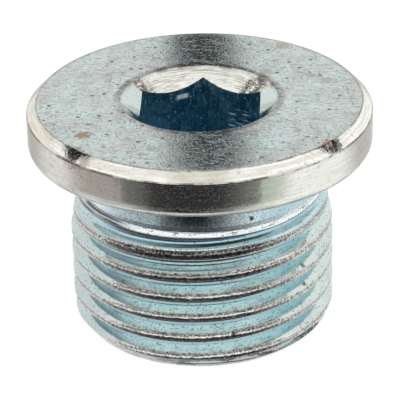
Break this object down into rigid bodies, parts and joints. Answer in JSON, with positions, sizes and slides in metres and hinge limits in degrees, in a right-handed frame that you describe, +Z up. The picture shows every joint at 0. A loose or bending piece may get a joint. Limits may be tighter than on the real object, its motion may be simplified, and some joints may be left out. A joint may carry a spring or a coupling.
{
  "type": "oxygen sensor bung plug",
  "caption": "Round screw plug with a wide collar, a hexagon socket and a fine right-hand male thread, for closing an exhaust bung.",
  "frame": {"origin": "centre of the flat end of the threaded shank, on which the plug stands", "axes": "+Z up the plug's axis towards the collar and its socket, +Y through one corner of the hexagon socket, +X through one of its flats"},
  "size_m": [0.023, 0.023, 0.0159],
  "materials": {
    "zinc_plated_steel": "bright zinc plate with a faint blue cast, worn brown on the thread crests"
  },
  "bodies": {
    "root": {"plug": "zinc_plated_steel"}
  },
  "joints": []
}
